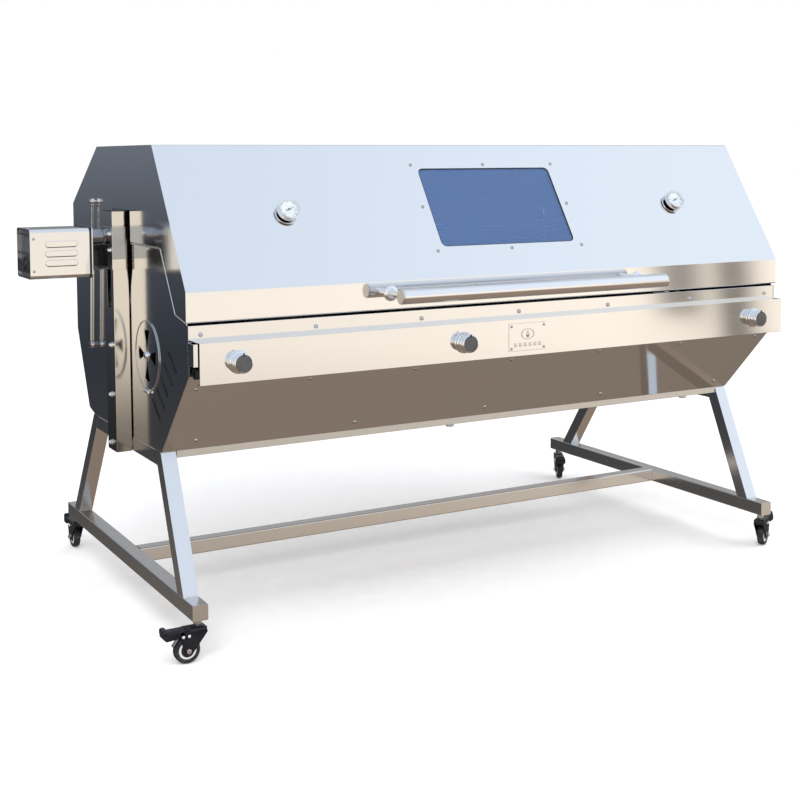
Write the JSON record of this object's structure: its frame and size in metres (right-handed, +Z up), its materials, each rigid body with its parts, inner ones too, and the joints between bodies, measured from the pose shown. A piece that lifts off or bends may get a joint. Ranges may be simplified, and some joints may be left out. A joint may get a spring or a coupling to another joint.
{
  "type": "rotisserie spit roaster",
  "caption": "Long eight-sided stainless gas spit roaster with a windowed rear-hinged lid, motor-driven height-adjustable spit, front control panel and a splayed castered stand.",
  "frame": {"origin": "on the floor, under the middle of the whole machine", "axes": "+X along the spit towards the end away from the motor, -Y towards the cook, +Z up"},
  "size_m": [2.114, 1.2154, 1.186],
  "materials": {
    "brushed_steel": "horizontally brushed stainless sheet",
    "stand_steel": "satin stainless square tube",
    "mirror_steel": "polished stainless end sheet",
    "pan_steel": "dull mill-finish stainless",
    "chrome": "polished chrome plate",
    "burner_steel": "heat-dulled steel tube",
    "black_plastic": "moulded black plastic",
    "tyre": "smooth black tread",
    "black_steel": "black heat-proof paint",
    "blue_glass": "blue-tinted heat-proof glass",
    "dial": "chrome case with a white face"
  },
  "bodies": {
    "stand": {"base_rail_left": "stand_steel", "leg_front_left": "stand_steel", "leg_back_left": "stand_steel", "top_rail_left": "stand_steel", "body_end_left": "mirror_steel", "spit_post_left": "brushed_steel", "base_rail_right": "stand_steel", "leg_front_right": "stand_steel", "leg_back_right": "stand_steel", "top_rail_right": "stand_steel", "body_end_right": "mirror_steel", "spit_post_right": "brushed_steel", "stretcher": "stand_steel", "body_front": "brushed_steel", "body_back": "brushed_steel", "grease_pan": "pan_steel", "control_panel": "brushed_steel", "gas_manifold": "black_steel", "burner_1": "burner_steel", "burner_2": "burner_steel", "burner_3": "burner_steel", "hinge_leaf_body": "brushed_steel"},
    "lid": {"lid_shell": "brushed_steel", "window_glass": "blue_glass", "window_frame": "brushed_steel", "lid_handle": "brushed_steel", "hinge_leaf_lid": "brushed_steel", "thermometer_left": "dial", "thermometer_right": "dial"},
    "carriage_left": {"spit_carriage_left": "brushed_steel", "motor_housing": "brushed_steel", "motor_cap": "black_plastic", "gear_motor": "black_steel", "motor_mount": "brushed_steel"},
    "carriage_right": {"spit_carriage_right": "brushed_steel"},
    "spit": {"spit_rod": "chrome", "meat_fork_left": "chrome", "meat_fork_right": "chrome"},
    "motor_switch": {"switch_rocker": "black_plastic"},
    "knob_1": {"knob_1": "chrome"},
    "knob_2": {"knob_2": "chrome"},
    "knob_3": {"knob_3": "chrome"},
    "vent_left": {"vent_disc_left": "mirror_steel"},
    "strut_tube_left": {"strut_tube_left": "chrome"},
    "strut_rod_left": {"strut_rod_left": "chrome"},
    "vent_right": {"vent_disc_right": "mirror_steel"},
    "strut_tube_right": {"strut_tube_right": "chrome"},
    "strut_rod_right": {"strut_rod_right": "chrome"},
    "caster_front_left": {"caster_fork_front_left": "black_plastic"},
    "wheel_front_left": {"caster_wheel_front_left": "tyre"},
    "pedal_front_left": {"brake_pedal_front_left": "black_plastic"},
    "caster_back_left": {"caster_fork_back_left": "black_plastic"},
    "wheel_back_left": {"caster_wheel_back_left": "tyre"},
    "pedal_back_left": {"brake_pedal_back_left": "black_plastic"},
    "caster_front_right": {"caster_fork_front_right": "black_plastic"},
    "wheel_front_right": {"caster_wheel_front_right": "tyre"},
    "pedal_front_right": {"brake_pedal_front_right": "black_plastic"},
    "caster_back_right": {"caster_fork_back_right": "black_plastic"},
    "wheel_back_right": {"caster_wheel_back_right": "tyre"},
    "pedal_back_right": {"brake_pedal_back_right": "black_plastic"}
  },
  "joints": [
    {"name": "lid_hinge", "type": "hinge", "parent": "stand", "child": "lid", "pos_m": [0.093, 0.40375, 0.88], "axis": [-1, 0, 0], "range_deg": [0, 75]},
    {"name": "spit_height_left", "type": "slide", "parent": "stand", "child": "carriage_left", "axis": [0, 0, 1], "range_m": [-0.16, 0]},
    {"name": "spit_height_right", "type": "slide", "parent": "stand", "child": "carriage_right", "axis": [0, 0, 1], "range_m": [-0.16, 0]},
    {"name": "spit_spin", "type": "hinge", "parent": "carriage_left", "child": "spit", "pos_m": [0.093, -0.05125, 0.96], "axis": [1, 0, 0], "continuous": true},
    {"name": "motor_switch", "type": "hinge", "parent": "carriage_left", "child": "motor_switch", "pos_m": [-1.048, -0.05125, 0.897], "axis": [0, -1, 0], "range_deg": [0, 12]},
    {"name": "knob_1_turn", "type": "hinge", "parent": "stand", "child": "knob_1", "pos_m": [-0.701, -0.54225, 0.695], "axis": [0, -1, 0], "range_deg": [0, 210]},
    {"name": "knob_2_turn", "type": "hinge", "parent": "stand", "child": "knob_2", "pos_m": [-0.1, -0.54225, 0.695], "axis": [0, -1, 0], "range_deg": [0, 210]},
    {"name": "knob_3_turn", "type": "hinge", "parent": "stand", "child": "knob_3", "pos_m": [0.871, -0.54225, 0.695], "axis": [0, -1, 0], "range_deg": [0, 210]},
    {"name": "vent_turn_left", "type": "hinge", "parent": "stand", "child": "vent_left", "pos_m": [-0.805, -0.21625, 0.675], "axis": [-1, 0, 0], "range_deg": [0, 45]},
    {"name": "vent_turn_right", "type": "hinge", "parent": "stand", "child": "vent_right", "pos_m": [0.991, -0.21625, 0.675], "axis": [1, 0, 0], "range_deg": [0, 45]},
    {"name": "caster_swivel_front_left", "type": "hinge", "parent": "stand", "child": "caster_front_left", "pos_m": [-0.787, -0.48125, 0.09], "axis": [0, 0, 1], "continuous": true},
    {"name": "wheel_roll_front_left", "type": "hinge", "parent": "caster_front_left", "child": "wheel_front_left", "pos_m": [-0.814, -0.48125, 0.031], "axis": [0, -1, 0], "continuous": true},
    {"name": "brake_press_front_left", "type": "hinge", "parent": "caster_front_left", "child": "pedal_front_left", "pos_m": [-0.828, -0.48125, 0.071], "axis": [0, -1, 0], "range_deg": [0, 8]},
    {"name": "caster_swivel_back_left", "type": "hinge", "parent": "stand", "child": "caster_back_left", "pos_m": [-0.787, 0.52175, 0.09], "axis": [0, 0, 1], "continuous": true},
    {"name": "wheel_roll_back_left", "type": "hinge", "parent": "caster_back_left", "child": "wheel_back_left", "pos_m": [-0.787, 0.54875, 0.031], "axis": [-1, 0, 0], "continuous": true},
    {"name": "brake_press_back_left", "type": "hinge", "parent": "caster_back_left", "child": "pedal_back_left", "pos_m": [-0.787, 0.56275, 0.071], "axis": [-1, 0, 0], "range_deg": [0, 8]},
    {"name": "caster_swivel_front_right", "type": "hinge", "parent": "stand", "child": "caster_front_right", "pos_m": [0.973, -0.48125, 0.09], "axis": [0, 0, 1], "continuous": true},
    {"name": "wheel_roll_front_right", "type": "hinge", "parent": "caster_front_right", "child": "wheel_front_right", "pos_m": [0.99638, -0.46775, 0.031], "axis": [-0.5, 0.866, 0], "continuous": true},
    {"name": "brake_press_front_right", "type": "hinge", "parent": "caster_front_right", "child": "pedal_front_right", "pos_m": [1.00851, -0.46075, 0.071], "axis": [-0.5, 0.866, 0], "range_deg": [0, 8]},
    {"name": "caster_swivel_back_right", "type": "hinge", "parent": "stand", "child": "caster_back_right", "pos_m": [0.973, 0.52175, 0.09], "axis": [0, 0, 1], "continuous": true},
    {"name": "wheel_roll_back_right", "type": "hinge", "parent": "caster_back_right", "child": "wheel_back_right", "pos_m": [0.9595, 0.49837, 0.031], "axis": [0.866, -0.5, 0], "continuous": true},
    {"name": "brake_press_back_right", "type": "hinge", "parent": "caster_back_right", "child": "pedal_back_right", "pos_m": [0.9525, 0.48624, 0.071], "axis": [0.866, -0.5, 0], "range_deg": [0, 8]},
    {"name": "strut_tube_turn_left", "type": "hinge", "parent": "stand", "child": "strut_tube_left", "pos_m": [-0.818, 0.21475, 0.65], "axis": [-1, 0, 0], "range_deg": [0, 35.38]},
    {"name": "strut_rod_turn_left", "type": "hinge", "parent": "lid", "child": "strut_rod_left", "pos_m": [-0.818, 0.18175, 1.04], "axis": [-1, 0, 0], "range_deg": [-39.72, 0]},
    {"name": "strut_tube_turn_right", "type": "hinge", "parent": "stand", "child": "strut_tube_right", "pos_m": [1.004, 0.21475, 0.65], "axis": [-1, 0, 0], "range_deg": [0, 35.38]},
    {"name": "strut_rod_turn_right", "type": "hinge", "parent": "lid", "child": "strut_rod_right", "pos_m": [1.004, 0.18175, 1.04], "axis": [-1, 0, 0], "range_deg": [-39.72, 0]}
  ],
  "couplings": [
    {"joint": "spit_height_right", "follows": "spit_height_left", "ratio": 1},
    {"joint": "strut_tube_turn_left", "follows": "lid_hinge", "ratio": 0.47104},
    {"joint": "strut_rod_turn_left", "follows": "lid_hinge", "ratio": -0.52896},
    {"joint": "strut_tube_turn_right", "follows": "lid_hinge", "ratio": 0.47104},
    {"joint": "strut_rod_turn_right", "follows": "lid_hinge", "ratio": -0.52896}
  ]
}
